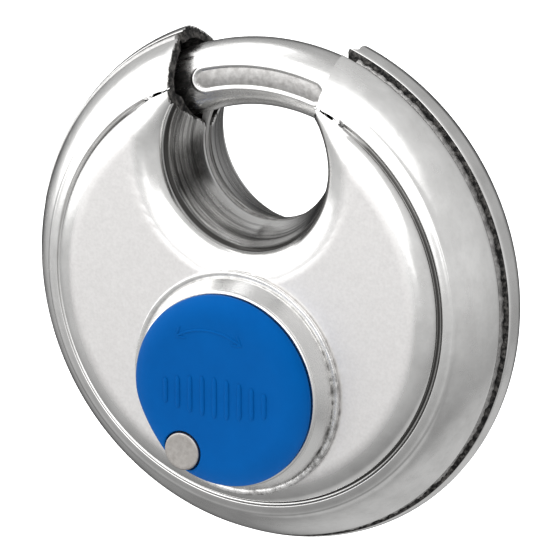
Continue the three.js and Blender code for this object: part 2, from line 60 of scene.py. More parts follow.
BODY_RADIUS = (shell_high.x - shell_low.x) / 2
FACE_DEPTH = shell_high.y
DISC_Z = shell_low.z + BODY_RADIUS
LOCK_Z = (collar_low.z + collar_high.z) / 2
FOOT_RADIUS = (collar_high.x - collar_low.x) / 2
COLLAR_RADIUS = FOOT_RADIUS - 0.7 * MM
COLLAR_FRONT = collar_low.y
COVER_RADIUS = (cover_high.x - cover_low.x) / 2
COVER_FRONT = cover_low.y
COVER_REAR = cover_high.y
COVER_ROUND_IN = 2.8 * MM
COVER_ROUND_BACK = 1.85 * MM
RIVET_X = (rivet_low.x + rivet_high.x) / 2
RIVET_Z = (rivet_low.z + rivet_high.z) / 2
RIVET_HEAD = (rivet_high.x - rivet_low.x) / 2
BAR_RADIUS = -bar_low.y
PATH_RADIUS = -DISC_Z  # the frame's origin lies on the bar's centreline

# Rim and raised face of each shell
SHEET = 1.4 * MM
GROOVE_RADIUS = 24 * MM
RIM_DEPTH = 7 * MM
RIM_POWER = 1.5
RIDGE_RADIUS = 25.5 * MM
RIDGE_HEIGHT = 0.1 * MM
RIDGE_WIDTH = 0.26 * MM
FACE_FOOT = 23.9 * MM
SHOULDER_IN = 3.3 * MM
SHOULDER_BACK = 1.9 * MM
GROOVE_WIDTH = 0.3 * MM
ROUGH_GROOVE = 0.12 * MM  # as first cut, before the surface settles to the full groove
SEAM_Y = -1.9 * MM
SEAM_HALF_GAP = 0.5 * MM

# Notch, round an axis parallel to the disc's
NOTCH_Z = DISC_Z + 15.4 * MM
NOTCH_WAIST = 7.9 * MM
NOTCH_SEAM_Y = -0.5 * MM
NOTCH_SEAM_REACH = 10.6 * MM
WALL_FLARE = 2 * MM
WALL_DEPTH = 5.9 * MM
WALL_POWER = 1.15
LEDGE_DEPTH = 6.25 * MM
LEDGE_RADIUS = 10.35 * MM
SADDLE_RADIUS = 13.3 * MM
SADDLE_RUN = 2.9 * MM
SADDLE_DROP = 1.3 * MM

# Mouth: each cut edge crosses MOUTH_Z at x and leans outwards
MOUTH_Z = DISC_Z + 22.7 * MM
LEFT_MOUTH = (-9.6 * MM, math.radians(-15))
RIGHT_MOUTH = (9.1 * MM, math.radians(8))
SEAM_BITE = 1.1 * MM  # the right edge is torn back this far where it meets the seam

# Shackle. Angles run clockwise from straight up, seen from the front.
BAR_CLEARANCE = 0.5 * MM
MOUTH_WIDENING = 0.42 * MM
SHACKLE_TIP = -30.5
SHACKLE_END = 168
BAR_FLAT_Y = 2.6 * MM
PANEL_HALF_LENGTH = 8.1 * MM
PANEL_HALF_WIDTH = 1.25 * MM
PANEL_DEPTH = 0.26 * MM

# Sunk ring in the key cover that the rivet's head lies in
RECESS_RADIUS = RIVET_HEAD + 0.2 * MM
RECESS_FLOOR = COVER_REAR - 0.75 * MM

# How far inside its cut surface a vertex still counts as lying on it
SKIN_TOLERANCE = 0.05 * MM


# ---------- helpers for meshes ----------

def smoothstep(low, high, value):
    t = np.clip((value - low) / (high - low), 0, 1)
    return t * t * (3 - 2 * t)


def smooth_max(a, b, width):
    overlap = np.maximum(width - np.abs(a - b), 0) / width
    return np.maximum(a, b) + overlap**2 * width / 4


def smooth_min(a, b, width):
    return -smooth_max(-a, -b, width)


def clockwise(angle_degrees, radius, y=0.0):
    """A point on a circle round the disc's axis."""
    angle = math.radians(angle_degrees)
    return np.array([radius * math.sin(angle), y, DISC_Z + radius * math.cos(angle)])


def new_object(name, vertices, faces):
    mesh = bpy.data.meshes.new(name)
    mesh.from_pydata([tuple(v) for v in vertices], [], faces)
    mesh.update()
    piece = bpy.data.objects.new(name, mesh)
    bpy.context.scene.collection.objects.link(piece)
    return piece


def loft(name, rings, looped=False):
    """A closed mesh through rings of points. The end rings are capped unless they join up."""
    rings = np.asarray(rings, float)
    rows, columns = rings.shape[:2]
    faces = []
    for i in range(rows if looped else rows - 1):
        below = i * columns
        above = ((i + 1) % rows) * columns
        for j in range(columns):
            k = (j + 1) % columns
            faces.append((below + j, below + k, above + k, above + j))
    if not looped:
        faces.append(tuple(reversed(range(columns))))
        faces.append(tuple((rows - 1) * columns + j for j in range(columns)))
    piece = new_object(name, rings.reshape(-1, 3), faces)
    face_outwards(piece)
    return piece


def face_outwards(piece):
    """Turns every face round if the closed mesh is inside out."""
    mesh = piece.data
    mesh.calc_loop_triangles()
    corners = np.zeros(len(mesh.loop_triangles) * 3, np.int32)
    mesh.loop_triangles.foreach_get("vertices", corners)
    points = points_of(mesh)[corners].reshape(-1, 3, 3)
    volume = np.einsum("ij,ij->i", points[:, 0], np.cross(points[:, 1], points[:, 2])).sum()
    if volume < 0:
        mesh.flip_normals()


def turned(name, profile, segments, x=0.0, z=None, looped=False):
    """A solid turned round a line parallel to Y. The profile lists (radius, y)."""
    angles = np.linspace(0, 2 * math.pi, segments, endpoint=False)
    centre_z = DISC_Z if z is None else z
    rings = [
        np.stack([x + r * np.sin(angles), np.full(segments, y), centre_z + r * np.cos(angles)], -1)
        for r, y in profile
    ]
    return loft(name, rings, looped)


def points_of(mesh):
    flat = np.zeros(len(mesh.vertices) * 3, np.float32)
    mesh.vertices.foreach_get("co", flat)
    return flat.reshape(-1, 3).astype(float)


def set_points(mesh, points):
    mesh.vertices.foreach_set("co", points.astype(np.float32).ravel())
    mesh.update()


def cut(piece, tool, operation="DIFFERENCE"):
    """Cuts a closed mesh with another, and removes the other."""
    modifier = piece.modifiers.new("cut", "BOOLEAN")
    modifier.operation = operation
    modifier.solver = "MANIFOLD"
    modifier.object = tool
    depsgraph = bpy.context.evaluated_depsgraph_get()
    result = bpy.data.meshes.new_from_object(piece.evaluated_get(depsgraph))
    piece.modifiers.clear()
    piece.data = result
    bpy.data.objects.remove(tool)
    return piece


def slope_of(field, points):
    """The gradient of a field, by central differences."""
    step = 2e-6
    columns = []
    for axis in range(3):
        offset = np.zeros(3)
        offset[axis] = step
        columns.append((field(points + offset) - field(points - offset)) / (2 * step))
    return np.stack(columns, -1)


def settle(piece, field, start_field):
    """Moves vertices from the surface they were cut to, where start_field is zero, to where field is zero.

    They are shaded by the field's own slope, and the rest of the mesh stays flat shaded."""
    mesh = piece.data
    points = points_of(mesh)
    on_skin = start_field(points) > -SKIN_TOLERANCE
    moved = points[on_skin]
    for _ in range(5):
        slope = slope_of(field, moved)
        square = np.maximum((slope**2).sum(-1, keepdims=True), 1e-6)
        moved = moved - field(moved)[:, None] * slope / square
    points[on_skin] = moved
    set_points(mesh, points)
    normals = np.zeros((len(points), 3))
    slope = slope_of(field, moved)
    normals[on_skin] = slope / np.maximum(np.linalg.norm(slope, axis=-1, keepdims=True), 1e-9)
    starts = np.zeros(len(mesh.polygons), np.int32)
    mesh.polygons.foreach_get("loop_start", starts)
    corner_vertices = np.zeros(len(mesh.loops), np.int32)
    mesh.loops.foreach_get("vertex_index", corner_vertices)
    skin_face = np.minimum.reduceat(on_skin[corner_vertices].astype(int), starts).astype(bool)
    corner_face = np.searchsorted(starts, np.arange(len(mesh.loops)), side="right") - 1
    mesh.polygons.foreach_set("use_smooth", skin_face)
    corner_normals = np.where(skin_face[corner_face][:, None], normals[corner_vertices], 0)
    mesh.normals_split_custom_set(corner_normals.tolist())


def shade_smooth(piece, angle_degrees=35):
    mesh = piece.data
    mesh.polygons.foreach_set("use_smooth", [True] * len(mesh.polygons))
    mesh.set_sharp_from_angle(angle=math.radians(angle_degrees))


def place(piece, body, replaces=()):
    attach(piece, body)
    for node in replaces:
        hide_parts(node)


# ---------- the casing's surface ----------

def horn_share(points):
    """1 beside the mouth, where the raised face runs out into the horns, and 0 away from it."""
    angle = np.abs(np.arctan2(points[:, 0], points[:, 2] - DISC_Z))
    return 1 - smoothstep(math.radians(25), math.radians(38), angle)


def rim_field(radius, depth):
    """Below zero inside the rim, whose section is part of a superellipse."""
    height = BODY_RADIUS - GROOVE_RADIUS
    out = np.maximum(radius - GROOVE_RADIUS, 0) / height
    along = depth / RIM_DEPTH
    power = RIM_POWER
    slope = power * np.hypot(out ** (power - 1) / height, along ** (power - 1) / RIM_DEPTH)
    return (out**power + along**power - 1) / np.maximum(slope, 20)


def soft_disc_field(radius, height, edge, top, round_in, round_back):
    """Below zero inside a disc whose front corner is a quarter of an ellipse."""
    across = np.maximum(radius - (edge - round_in), 0) / round_in
    along = np.maximum(height - (top - round_back), 0) / round_back
    size = np.hypot(across, along)
    slope = np.hypot(across / round_in, along / round_back) / np.maximum(size, 1e-6)
    return (size - 1) / np.maximum(slope, 100)


def raised_face_field(radius, depth):
    return soft_disc_field(radius, depth, FACE_FOOT, FACE_DEPTH, SHOULDER_IN, SHOULDER_BACK)


def drum_place(points):
    """Each point's radius from the disc's axis and its distance from the middle plane."""
    return np.hypot(points[:, 0], points[:, 2] - DISC_Z), np.abs(points[:, 1])


def groove_distance(radius, depth):
    return np.hypot(radius - GROOVE_RADIUS, depth - RIM_DEPTH)


def drum_field(points):
    """The drum with its ridge and full groove, which both fade out in the horns."""
    radius, depth = drum_place(points)
    horn = horn_share(points)
    ridge = RIDGE_HEIGHT * np.exp(-(((radius - RIDGE_RADIUS) / RIDGE_WIDTH) ** 2))
    rim = rim_field(radius, depth) - ridge * (1 - horn)
    body = smooth_min(rim, raised_face_field(radius, depth), 0.06 * MM + 1.6 * MM * horn)
    groove = GROOVE_WIDTH * (1 - 1.6 * horn) - groove_distance(radius, depth)
    return smooth_max(body, groove, 0.12 * MM)


def notch_wall_radius(y):
    """The notch is narrowest at its seam and flares towards both faces."""
    from_seam = y - NOTCH_SEAM_Y
    run = WALL_DEPTH + np.sign(from_seam) * -NOTCH_SEAM_Y
    return NOTCH_WAIST + WALL_FLARE * (np.abs(from_seam) / run) ** WALL_POWER


def saddle_dish(inwards):
    """How deep the saddle dishes, as a share of its drop. It runs on as a straight slope outside."""
    return np.where(inwards > 0, 0.3 * inwards + 0.7 * inwards**2, 1.1 * inwards)


def notch_surfaces(points):
    """The notch's wall, the ledge at its lip and the saddle round it, each above zero in the notch."""
    reach = np.hypot(points[:, 0], points[:, 2] - NOTCH_Z)
    depth = np.abs(points[:, 1])
    wall = (notch_wall_radius(points[:, 1]) - reach) * math.cos(WALL_FLARE / WALL_DEPTH)
    ledge = smooth_min(depth - LEDGE_DEPTH, LEDGE_RADIUS - reach, 0.15 * MM)
    inwards = (SADDLE_RADIUS - reach) / SADDLE_RUN
    steepness = np.where(inwards > 0, 0.3 + 1.4 * inwards, 1.1) * SADDLE_DROP / SADDLE_RUN
    saddle = (depth - FACE_DEPTH + SADDLE_DROP * saddle_dish(inwards)) / np.hypot(1, steepness)
    return wall, ledge, saddle


def casing_field(points):
    """The drum and its notch, with every corner softened and the raised face run out into the horns."""
    wall, ledge, saddle = notch_surfaces(points)
    notch = smooth_max(smooth_max(wall, ledge, 0.2 * MM), saddle, 0.35 * MM)
    return smooth_max(drum_field(points), notch, 0.35 * MM + 1.1 * MM * horn_share(points))


def cut_casing_field(points):
    """The drum and its notch as they are cut, before their corners are softened."""
    radius, depth = drum_place(points)
    body = np.minimum(rim_field(radius, depth), raised_face_field(radius, depth))
    groove = ROUGH_GROOVE - groove_distance(radius, depth)
    return np.maximum.reduce([body, groove, *notch_surfaces(points)])


def seam_height(points):
    """The shells part nearer the middle plane on the notch wall than round the rim."""
    reach = np.hypot(points[:, 0], points[:, 2] - NOTCH_Z)
    return np.where(reach < NOTCH_SEAM_REACH, NOTCH_SEAM_Y, SEAM_Y)


def past_seam(points, side):
    """Above zero beyond the edge of the front shell, side -1, or the rear shell, side 1."""
    return side * (seam_height(points) - points[:, 1]) + SEAM_HALF_GAP


# ---------- the casing's solids ----------

def rim_profile(steps, inset=0.0):
    """(radius, depth) from near the groove to the rim's outermost circle."""
    power = 2 / RIM_POWER
    height = BODY_RADIUS - GROOVE_RADIUS - inset
    depth = RIM_DEPTH - inset
    angles = np.linspace(math.pi / 2, 0, steps)
    return [
        (GROOVE_RADIUS + height * math.cos(t) ** power, depth * math.sin(t) ** power)
        for t in angles[1:]
    ]


def mirrored(half):
    """A half profile that ends on the middle plane, carried on to the other side."""
    return [*half, *((r, -y) for r, y in reversed(half[:-1]))]


def drum(segments=288):
    corner = FACE_FOOT - SHOULDER_IN
    flat = [(r, FACE_DEPTH) for r in np.linspace(0.4 * MM, corner, 15)]
    shoulder = [
        (corner + SHOULDER_IN * math.sin(t), FACE_DEPTH - SHOULDER_BACK + SHOULDER_BACK * math.cos(t))
        for t in np.linspace(0, math.radians(70), 20)[1:]
    ]
    groove = [
        (GROOVE_RADIUS + ROUGH_GROOVE * math.cos(t), RIM_DEPTH + ROUGH_GROOVE * math.sin(t))
        for t in np.radians(np.linspace(165, 335, 7))
    ]
    rim = [p for p in rim_profile(54) if p[0] > GROOVE_RADIUS + 1.3 * GROOVE_WIDTH]
    return turned("drum", mirrored([*flat, *shoulder, *groove, *rim]), segments)


def drum_hollow(segments=144):
    depth = FACE_DEPTH - SHEET
    half = [
        (0.4 * MM, depth),
        (FACE_FOOT - 2.6 * MM, depth),
        (FACE_FOOT - 1.9 * MM, RIM_DEPTH - SHEET + 0.4 * MM),
        (GROOVE_RADIUS, RIM_DEPTH - SHEET),
        *rim_profile(16, SHEET),
    ]
    return turned("drum_hollow", mirrored(half), segments)


def notch_void(grow=0.0, segments=240):
    """The notch as a solid to cut away. Growing it by the sheet's thickness gives the back of its wall."""
    def side(sign):
        end = sign * WALL_DEPTH
        wall = [(notch_wall_radius(y) + grow, y) for y in np.linspace(NOTCH_SEAM_Y, end, 22)[1:]]
        lip = [(LEDGE_RADIUS + grow, sign * (LEDGE_DEPTH + d * MM)) for d in (0.0, 0.3, 0.6)]
        saddle = []
        for inwards in np.linspace(0.95, -0.6, 18):
            reach = SADDLE_RADIUS - inwards * SADDLE_RUN
            saddle.append((reach + grow, sign * (FACE_DEPTH - SADDLE_DROP * float(saddle_dish(inwards)))))
        top = sign * (FACE_DEPTH + 3 * MM)
        return [*wall, *lip, *saddle, (saddle[-1][0], top), (0.5 * MM, top)]

    profile = [*reversed(side(1)), (NOTCH_WAIST + grow, NOTCH_SEAM_Y), *side(-1)]
    return turned("notch_void", profile, segments, z=NOTCH_Z)


def mouth_void():
    """The wedge cut out of the drum above the notch by shearing. Its two sides are a little torn."""
    top = DISC_Z + BODY_RADIUS + 2 * MM
    heights = np.linspace(NOTCH_Z, top, 80)
    rings = []
    for y in np.linspace(-FACE_DEPTH - MM, FACE_DEPTH + MM, 90):
        bite = SEAM_BITE * smoothstep(-1.6 * MM, -0.8 * MM, y) * (1 - smoothstep(3 * MM, 5 * MM, y))
        ragged = MM * (0.06 + 0.3 * math.exp(-(((y - SEAM_Y) / MM) ** 2)))
        ring = []
        for (x, lean), levels in ((LEFT_MOUTH, heights), (RIGHT_MOUTH, heights[::-1])):
            reach = x + bite if x > 0 else x
            for z in levels:
                tear = noise.fractal(Vector((x * 9, y * 900, z * 900)), 0.7, 2.0, 4) * ragged
                ring.append((reach + (z - MOUTH_Z) * math.tan(lean) + tear, y, z))
        rings.append(ring)
    return loft("mouth_void", rings)


def bar_channel(segments=240):
    """The round way that the bar slides in. It widens a little at the mouth."""
    rings = []
    for angle in np.linspace(0, 360, segments, endpoint=False):
        from_top = min(angle, 360 - angle)
        radius = BAR_RADIUS + BAR_CLEARANCE + MOUTH_WIDENING * (1 - smoothstep(20, 34, from_top))
        rings.append([
            clockwise(angle, PATH_RADIUS + radius * math.cos(t), radius * math.sin(t))
            for t in np.linspace(0, 2 * math.pi, 60, endpoint=False)
        ])
    return loft("bar_channel", rings, looped=True)


def behind_seam(gap):
    """Everything behind the seam, less half its gap."""
    reach = BODY_RADIUS + 5 * MM
    low = SEAM_Y + gap
    corners = ((-reach, -reach), (reach, -reach), (reach, reach), (-reach, reach))
    rings = [[(x, y, DISC_Z + up) for x, up in corners] for y in (low, 20 * MM)]
    half_space = loft("half_space", rings)
    step = [(NOTCH_SEAM_REACH, -12 * MM), (NOTCH_SEAM_REACH, NOTCH_SEAM_Y + gap)]
    return cut(half_space, turned("seam_step", step, 240, z=NOTCH_Z))


def casing(name):
    """Both shells in one, hollow, with the notch, the mouth and the bar's channel cut."""
    piece = drum()
    piece.name = name
    cut(piece, notch_void())
    cut(piece, mouth_void())
    cut(piece, cut(drum_hollow(), notch_void(SHEET, 120)))
    cut(piece, bar_channel())
    return piece


def finish_shell(piece, side, steel, raw_and_shaded_steel):
    """Softens a shell's corners, and polishes its outside but not its inside and torn edges."""
    settle(
        piece,
        lambda points: smooth_max(casing_field(points), past_seam(points, side), 0.35 * MM),
        lambda points: np.maximum(cut_casing_field(points), past_seam(points, side)),
    )
    mesh = piece.data
    polished_layer = 0.12 * MM
    centres = np.zeros(len(mesh.polygons) * 3, np.float32)
    mesh.polygons.foreach_get("center", centres)
    outside = casing_field(centres.reshape(-1, 3).astype(float)) > -polished_layer
    # Inside faces and torn edges take the near-black steel, which is partly painted shade for the casing's
    # dark inside.
    mesh.materials.clear()
    mesh.materials.append(steel)
    mesh.materials.append(raw_and_shaded_steel)
    mesh.polygons.foreach_set("material_index", np.where(outside, 0, 1).astype(np.int32))
    mesh.update()


def front_shell(steel, raw_and_shaded_steel):
    piece = casing("front_shell_skin")
    cut(piece, behind_seam(-SEAM_HALF_GAP))
    hole = [(COLLAR_RADIUS - 0.45 * MM, y) for y in (-12 * MM, -5 * MM)]
    cut(piece, turned("collar_hole", hole, 160, z=LOCK_Z))
    finish_shell(piece, -1, steel, raw_and_shaded_steel)
    place(piece, "lock_body", ["front_shell"])


def rear_shell(steel, raw_and_shaded_steel):
    piece = casing("rear_shell_skin")
    cut(piece, behind_seam(SEAM_HALF_GAP), "INTERSECT")
    finish_shell(piece, 1, steel, raw_and_shaded_steel)
    place(piece, "lock_body", ["rear_shell"])


def weld_bead(weld_steel):
    """A rough bead in the seam. It is narrow at the right mouth and flush near the left one."""
    first, last, step = 23, 337.7, 0.4
    rings = []
    for angle in np.arange(first, last, step):
        flush = smoothstep(255, 300, angle)
        half_width = MM * (0.3 + 0.3 * smoothstep(28, 60, angle))
        middle = MM * (28.7 + 0.32 * flush)
        section = []
        for t in np.linspace(0, 2 * math.pi, 20, endpoint=False):
            spot = Vector(clockwise(angle, 29.2, 900 * half_width * math.sin(t)))
            rough = noise.fractal(spot * 1.1, 0.6, 2.1, 4) * MM * (0.2 - 0.17 * flush)
            radius = middle + (0.42 * MM + rough) * math.cos(t)
            section.append(clockwise(angle, radius, SEAM_Y + half_width * math.sin(t)))
        rings.append(section)
    piece = loft("weld_seam", rings)
    shade_smooth(piece, 50)
    piece.data.materials.append(weld_steel)
    place(piece, "lock_body", ["weld_bead"])


def notch_seam_strip(weld_steel):
    """The strip that backs the seam on the notch wall, between the two thin slits."""
    inner = NOTCH_WAIST + 0.28 * MM
    # (reach, y) in millimetres: a slightly crowned face on a square back
    profile = ((0.08, -0.26), (0, -0.16), (-0.04, 0), (0, 0.16), (0.08, 0.26), (0.9, 0.26), (0.9, -0.26))
    rings = []
    for angle in np.arange(-122, 122.1, 2):
        turn = math.radians(180 + angle)
        section = []
        for reach, y in profile:
            radius = inner + reach * MM
            x = radius * math.sin(turn)
            z = NOTCH_Z + radius * math.cos(turn)
            section.append((x, NOTCH_SEAM_Y + y * MM, z))
        rings.append(section)
    piece = loft("notch_seam_strip", rings)
    shade_smooth(piece, 40)
    piece.data.materials.append(weld_steel)
    place(piece, "lock_body")


# ---------- shackle ----------

def panel_edge(along, around):
    """Distance past the panel's outline, a slot with round ends. It is below zero inside."""
    straight = PANEL_HALF_LENGTH - PANEL_HALF_WIDTH
    return np.hypot(np.maximum(np.abs(along) - straight, 0), around) - PANEL_HALF_WIDTH


def panel_relief(along, around):
    """Change of the bar's radius at a point of the panel: below zero in it, above zero on its border."""
    edge = panel_edge(along, around)
    floor = -PANEL_DEPTH * (1 - smoothstep(-0.22 * MM, 0.02 * MM, edge))
    border = 0.07 * MM * np.exp(-(((edge - 0.17 * MM) / (0.13 * MM)) ** 2))
    return floor + border


def plate_angle():
    """The middle of the milled flat, from the rivets that hold the drive plate to it."""
    total = Vector((0, 0, 0))
    for node in ("plate_rivet_1", "plate_rivet_2"):
        low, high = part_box(node)
        total += (low + high) / 2 - Vector((0, 0, DISC_Z))
    return math.degrees(math.atan2(total.x, total.z))


def shackle(steel, etched_steel):
    """The bent bar, with finer rings along its panel, bevelled ends and a flat for the drive plate."""
    tip = np.arange(SHACKLE_TIP, -20.4, 1.0)
    fine = np.arange(-20.4, 20.4, 0.3)
    tail = np.arange(20.5, SHACKLE_END, 1.2)
    angles = np.concatenate([tip, fine, tail, [SHACKLE_END]])
    bevel = 0.9 * MM
    flat_half_angle = 15
    front = np.radians(np.arange(-24, 24.1, 1.6))
    rest = np.radians(np.arange(28, 332.1, 5))
    around = np.concatenate([front, rest])
    flat_angle = plate_angle()
    rings = []
    for angle in angles:
        to_end = min(angle - SHACKLE_TIP, SHACKLE_END - angle) * math.radians(1) * PATH_RADIUS
        inset = 0.8 * bevel * (1 - math.sqrt(1 - (1 - min(to_end / bevel, 1)) ** 2))
        along = math.radians(angle) * PATH_RADIUS
        wrapped = np.where(around > math.pi, around - 2 * math.pi, around)
        relief = panel_relief(along, wrapped * BAR_RADIUS)
        radius = BAR_RADIUS - inset + relief
        y = -radius * np.cos(wrapped)
        if abs(angle - flat_angle) < flat_half_angle:
            y = np.minimum(y, BAR_FLAT_Y)
        out = PATH_RADIUS + radius * np.sin(wrapped)
        turn = math.radians(angle)
        rings.append(np.stack([out * math.sin(turn), y, DISC_Z + out * math.cos(turn)], -1))
    piece = loft("shackle_bar", rings)
    shade_smooth(piece, 40)
    piece.data.materials.append(steel)
    piece.data.materials.append(etched_steel)
    for face in piece.data.polygons:
        turn = math.atan2(face.center.x, face.center.z - DISC_Z)
        out = math.hypot(face.center.x, face.center.z - DISC_Z) - PATH_RADIUS
        around = math.atan2(out, -face.center.y) * BAR_RADIUS
        if panel_edge(turn * PATH_RADIUS, around) < -0.15 * MM:
            face.material_index = 1
    place(piece, "sliding_shackle", ["shackle"])


# ---------- collar, key cover and rivet ----------

def arc(centre, radii, start, end, steps):
    """Points (radius, y) on a quarter of an ellipse in a turned profile."""
    return [
        (centre[0] + radii[0] * math.cos(t), centre[1] + radii[1] * math.sin(t))
        for t in np.radians(np.linspace(start, end, steps))
    ]


def cylinder_collar(steel):
    """A cone-shaped ring on a low foot. Its root sits in the casing."""
    edge = 0.3 * MM
    foot_edge = 0.18 * MM
    inner = 9.65 * MM
    mouth = 6.9 * MM
    mouth_rear = -9.8 * MM
    root = 11.4 * MM
    root_rear = -6.7 * MM
    nose = 11.28 * MM
    foot_front = -FACE_DEPTH - 0.55 * MM
    foot_centre = FOOT_RADIUS - foot_edge
    cone = [
        (COLLAR_RADIUS - 0.95 * MM * t, foot_front - (0.12 + 1.75 * t) * MM)
        for t in np.linspace(0.1, 0.95, 8)
    ]
    profile = [
        (inner, root_rear),
        (root, root_rear),
        (root, -FACE_DEPTH - 0.02 * MM),
        *arc((foot_centre, -FACE_DEPTH - 0.2 * MM), (foot_edge, foot_edge), 90, 0, 4),
        *arc((foot_centre, foot_front + foot_edge), (foot_edge, foot_edge), 0, -90, 4),
        (COLLAR_RADIUS + 0.12 * MM, foot_front + 0.02 * MM),
        (COLLAR_RADIUS - 0.06 * MM, foot_front + 0.1 * MM),
        (COLLAR_RADIUS - 0.02 * MM, foot_front - 0.12 * MM),
        *cone,
        *arc((nose - edge, COLLAR_FRONT + edge), (edge, edge), 20, -90, 8),
        (10.2 * MM, COLLAR_FRONT),
        (mouth, COLLAR_FRONT),
        (mouth, mouth_rear),
        (inner, mouth_rear),
    ]
    piece = turned("collar_ring", profile, 224, z=LOCK_Z, looped=True)
    shade_smooth(piece, 38)
    piece.data.materials.append(steel)
    place(piece, "lock_body", ["cylinder_collar"])


def cover_body(points):
    radius = np.hypot(points[:, 0], points[:, 2] - LOCK_Z)
    height = -points[:, 1]
    return soft_disc_field(radius, height, COVER_RADIUS, -COVER_FRONT, COVER_ROUND_IN, COVER_ROUND_BACK)


def cover_recess(points):
    """Above zero in the sunk ring that the rivet's head lies in."""
    from_rivet = np.hypot(points[:, 0] - RIVET_X, points[:, 2] - RIVET_Z)
    return np.minimum(RECESS_RADIUS - from_rivet, RECESS_FLOOR - points[:, 1])


def cover_field(points):
    """The key cover, flattened a little at one side, with soft corners."""
    flat_turn = math.radians(212)
    flat_cut = 0.38 * MM
    reach = points[:, 0] * math.cos(flat_turn) + (points[:, 2] - LOCK_Z) * math.sin(flat_turn)
    body = smooth_max(cover_body(points), reach - (COVER_RADIUS - flat_cut), 1.2 * MM)
    return smooth_max(body, cover_recess(points), 0.22 * MM)


def key_cover(plastic):
    """The cover's disc, hollow behind, with the recess and bore of its rivet."""
    flat_radius = COVER_RADIUS - COVER_ROUND_IN
    under = 6.8 * MM
    front_rings = [(r, COVER_FRONT) for r in np.arange(flat_radius - 0.2 * MM, 0.3 * MM, -0.25 * MM)]
    profile = [
        (0.4 * MM, COVER_REAR - 0.5 * MM),
        (under, COVER_REAR - 0.5 * MM),
        (under, COVER_REAR),
        (COVER_RADIUS, COVER_REAR),
        *arc((flat_radius, COVER_FRONT + COVER_ROUND_BACK), (COVER_ROUND_IN, COVER_ROUND_BACK), 0, -90, 18),
        *front_rings,
    ]
    piece = turned("cover_disc", profile, 256, z=LOCK_Z)
    recess = [(RECESS_RADIUS, y) for y in np.linspace(COVER_FRONT - MM, RECESS_FLOOR, 24)]
    cut(piece, turned("recess", recess, 72, x=RIVET_X, z=RIVET_Z))
    bore = [(1.2 * MM, y) for y in (COVER_FRONT - MM, COVER_REAR + MM)]
    cut(piece, turned("bore", bore, 32, x=RIVET_X, z=RIVET_Z))
    settle(piece, cover_field, lambda points: np.maximum(cover_body(points), cover_recess(points)))
    piece.data.materials.clear()
    piece.data.materials.append(plastic)
    place(piece, "swing_cover", ["key_cover"])


def raised_line(name, path, half_width, height):
    """A low rounded bead along points (x, z) on the cover's front."""
    path = np.asarray(path, float)
    tangents = np.gradient(path, axis=0)
    tangents /= np.linalg.norm(tangents, axis=1, keepdims=True)
    sides = np.stack([-tangents[:, 1], tangents[:, 0]], -1)
    count = len(path)
    rings = []
    for i in range(count):
        from_end = min(i, count - 1 - i)
        taper = math.sqrt(1 - (1 - min((from_end + 0.3) / 2.3, 1)) ** 2)
        section = []
        for t in np.linspace(0, 2 * math.pi, 12, endpoint=False):
            offset = sides[i] * half_width * taper * math.cos(t)
            y = COVER_FRONT - height * taper * math.sin(t)
            section.append((path[i, 0] + offset[0], y, LOCK_Z + path[i, 1] + offset[1]))
        rings.append(section)
    return loft(name, rings)


def cover_marks(plastic):
    """A turn arrow near the top of the cover, and plain grip ribs across its middle."""
    bend = 7.6 * MM
    centre = np.array([-0.75 * MM, -0.3 * MM])
    half_turn = math.radians(33)
    turns = np.linspace(-half_turn, half_turn, 40)
    marks = [("turn_arrow", centre + bend * np.stack([np.sin(turns), np.cos(turns)], -1), 0.15 * MM)]
    for side, label in ((-1, "left"), (1, "right")):
        tip_turn = side * half_turn
        tip = centre + bend * np.array([math.sin(tip_turn), math.cos(tip_turn)])
        heading = side * np.array([math.cos(tip_turn), -math.sin(tip_turn)])
        for barb, spread in (("upper", 0.55), ("lower", -0.55)):
            back = np.array([
                -heading[0] * math.cos(spread) + heading[1] * math.sin(spread),
                -heading[1] * math.cos(spread) - heading[0] * math.sin(spread),
            ])
            line = [tip + back * s * MM for s in np.linspace(0, 1.35, 9)]
            marks.append((f"turn_arrow_{label}_{barb}", line, 0.13 * MM))
    for i in range(9):
        x = (i - 4) * 1.55 * MM
        half_height = (2.3 - 0.055 * (i - 4) ** 2) * MM
        line = [(x, -0.3 * MM + z) for z in np.linspace(-half_height, half_height, 15)]
        marks.append((f"grip_rib_{i + 1}", line, 0.3 * MM))
    for name, path, half_width in marks:
        piece = raised_line(name, path, half_width, 0.62 * half_width)
        shade_smooth(piece, 60)
        piece.data.materials.append(plastic)
        place(piece, "swing_cover")


def cover_rivet(steel):
    head_rear = COVER_REAR - 0.95 * MM
    edge = 0.16 * MM
    profile = [
        (0.3 * MM, rivet_high.y),
        (MM, rivet_high.y),
        (MM, head_rear),
        (RIVET_HEAD - 0.05 * MM, head_rear),
        (RIVET_HEAD, head_rear - 0.05 * MM),
        *arc((RIVET_HEAD - edge, rivet_low.y + edge), (edge, edge), 0, -90, 7),
        *((RIVET_HEAD * s, rivet_low.y + 0.03 * MM * (1 - s)) for s in (0.8, 0.6, 0.4, 0.2, 0.05)),
    ]
    piece = turned("rivet_head", profile, 96, x=RIVET_X, z=RIVET_Z)
    shade_smooth(piece, 35)
    piece.data.materials.append(steel)
    place(piece, "lock_body", ["cover_rivet"])


# ---------- materials ----------

